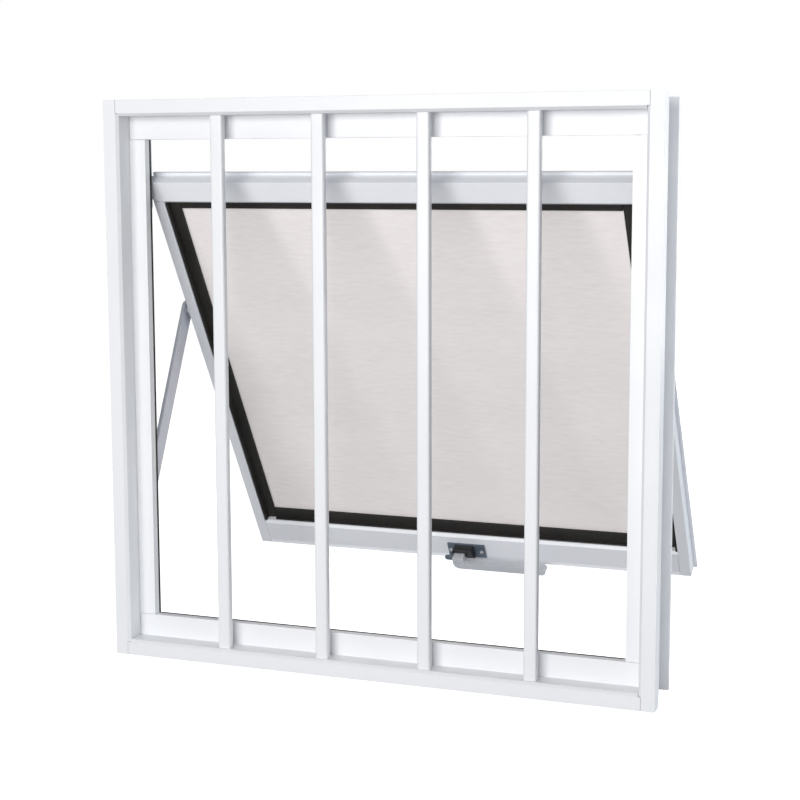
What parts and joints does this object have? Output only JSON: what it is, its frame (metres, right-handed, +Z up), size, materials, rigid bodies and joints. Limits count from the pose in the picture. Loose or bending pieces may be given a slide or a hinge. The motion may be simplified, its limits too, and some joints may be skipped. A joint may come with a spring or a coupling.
{
  "type": "projecting window",
  "caption": "Top-hung projecting window: a white frame with an inner grille of bars and a frosted sash that slides down and swings out on side arms, with a lever handle",
  "frame": {"origin": "Middle of the sill's bottom face, halfway through the trim's depth", "axes": "X runs to the right seen from the room, Y points outdoors, Z points up"},
  "size_m": [0.6, 0.3294, 0.6],
  "materials": {
    "frame_paint": "white powder coat, smooth semi-gloss",
    "sash_paint": "white powder coat, smooth semi-gloss",
    "black_rubber": "matt extruded rubber",
    "matt_aluminium": "mill finish, matt",
    "steel": "plain steel",
    "frosted_glass": "patterned obscure glass with a fine texture",
    "grey_nylon": "moulded nylon",
    "plate_paint": "satin blue-grey",
    "black_plastic": "moulded, satin",
    "silver_paint": "satin silver"
  },
  "bodies": {
    "frame": {"frame_jamb_right": "frame_paint", "frame_jamb_left": "frame_paint", "frame_sill": "frame_paint", "frame_head": "frame_paint", "grille_bar_1": "frame_paint", "grille_bar_2": "frame_paint", "grille_bar_3": "frame_paint", "grille_bar_4": "frame_paint", "stop_seal_right": "black_rubber", "stop_seal_left": "black_rubber", "stop_seal_sill": "black_rubber", "stop_seal_head": "black_rubber", "slide_track_right": "matt_aluminium", "slide_track_left": "matt_aluminium", "pivot_plate_right": "matt_aluminium", "pivot_plate_left": "matt_aluminium", "lower_rivet_right": "steel", "lower_rivet_left": "steel"},
    "arm_left": {"stay_arm_left": "matt_aluminium"},
    "sash": {"sash_stile_right": "sash_paint", "sash_stile_left": "sash_paint", "sash_bottom_rail": "sash_paint", "sash_top_rail": "sash_paint", "sash_glass": "frosted_glass", "glazing_gasket_right": "black_rubber", "glazing_gasket_left": "black_rubber", "glazing_gasket_bottom": "black_rubber", "glazing_gasket_top": "black_rubber", "arm_bracket_right": "matt_aluminium", "arm_bracket_left": "matt_aluminium", "upper_rivet_right": "steel", "upper_rivet_left": "steel", "shoe_bracket_right": "matt_aluminium", "shoe_bracket_left": "matt_aluminium", "handle_plate": "plate_paint", "plate_screw_1": "steel", "plate_screw_2": "steel"},
    "arm_right": {"stay_arm_right": "matt_aluminium"},
    "shoe_left": {"slide_shoe_left": "grey_nylon"},
    "shoe_right": {"slide_shoe_right": "grey_nylon"},
    "handle": {"handle_spindle": "steel", "handle_hub": "black_plastic", "handle_lobe": "plate_paint", "handle_lever": "silver_paint"}
  },
  "joints": [
    {"name": "arm_left_swing", "type": "hinge", "parent": "frame", "child": "arm_left", "pos_m": [-0.2783, 0.04, 0.184], "axis": [-1, 0, 0], "range_deg": [-25.53, 4.5]},
    {"name": "sash_swing", "type": "hinge", "parent": "arm_left", "child": "sash", "pos_m": [0, 0.12858, 0.36943], "axis": [1, 0, 0], "range_deg": [-56.74, 10.01]},
    {"name": "arm_right_swing", "type": "hinge", "parent": "frame", "child": "arm_right", "pos_m": [0.2783, 0.04, 0.184], "axis": [-1, 0, 0], "range_deg": [-25.55, 4.51]},
    {"name": "shoe_left_turn", "type": "hinge", "parent": "sash", "child": "shoe_left", "pos_m": [-0.2775, 0.04, 0.5157], "axis": [-1, 0, 0], "range_deg": [-31.21, 5.51]},
    {"name": "shoe_right_turn", "type": "hinge", "parent": "sash", "child": "shoe_right", "pos_m": [0.2775, 0.04, 0.5157], "axis": [-1, 0, 0], "range_deg": [-31.21, 5.51]},
    {"name": "handle_turn", "type": "hinge", "parent": "sash", "child": "handle", "pos_m": [0, 0.28869, 0.07416], "axis": [0, -0.8554, -0.518], "range_deg": [0, 90]}
  ],
  "couplings": [
    {"joint": "sash_swing", "follows": "arm_left_swing", "ratio": 2.2219},
    {"joint": "arm_right_swing", "follows": "arm_left_swing", "ratio": 1},
    {"joint": "shoe_left_turn", "follows": "arm_left_swing", "ratio": 1.2219},
    {"joint": "shoe_right_turn", "follows": "arm_left_swing", "ratio": 1.2219}
  ]
}
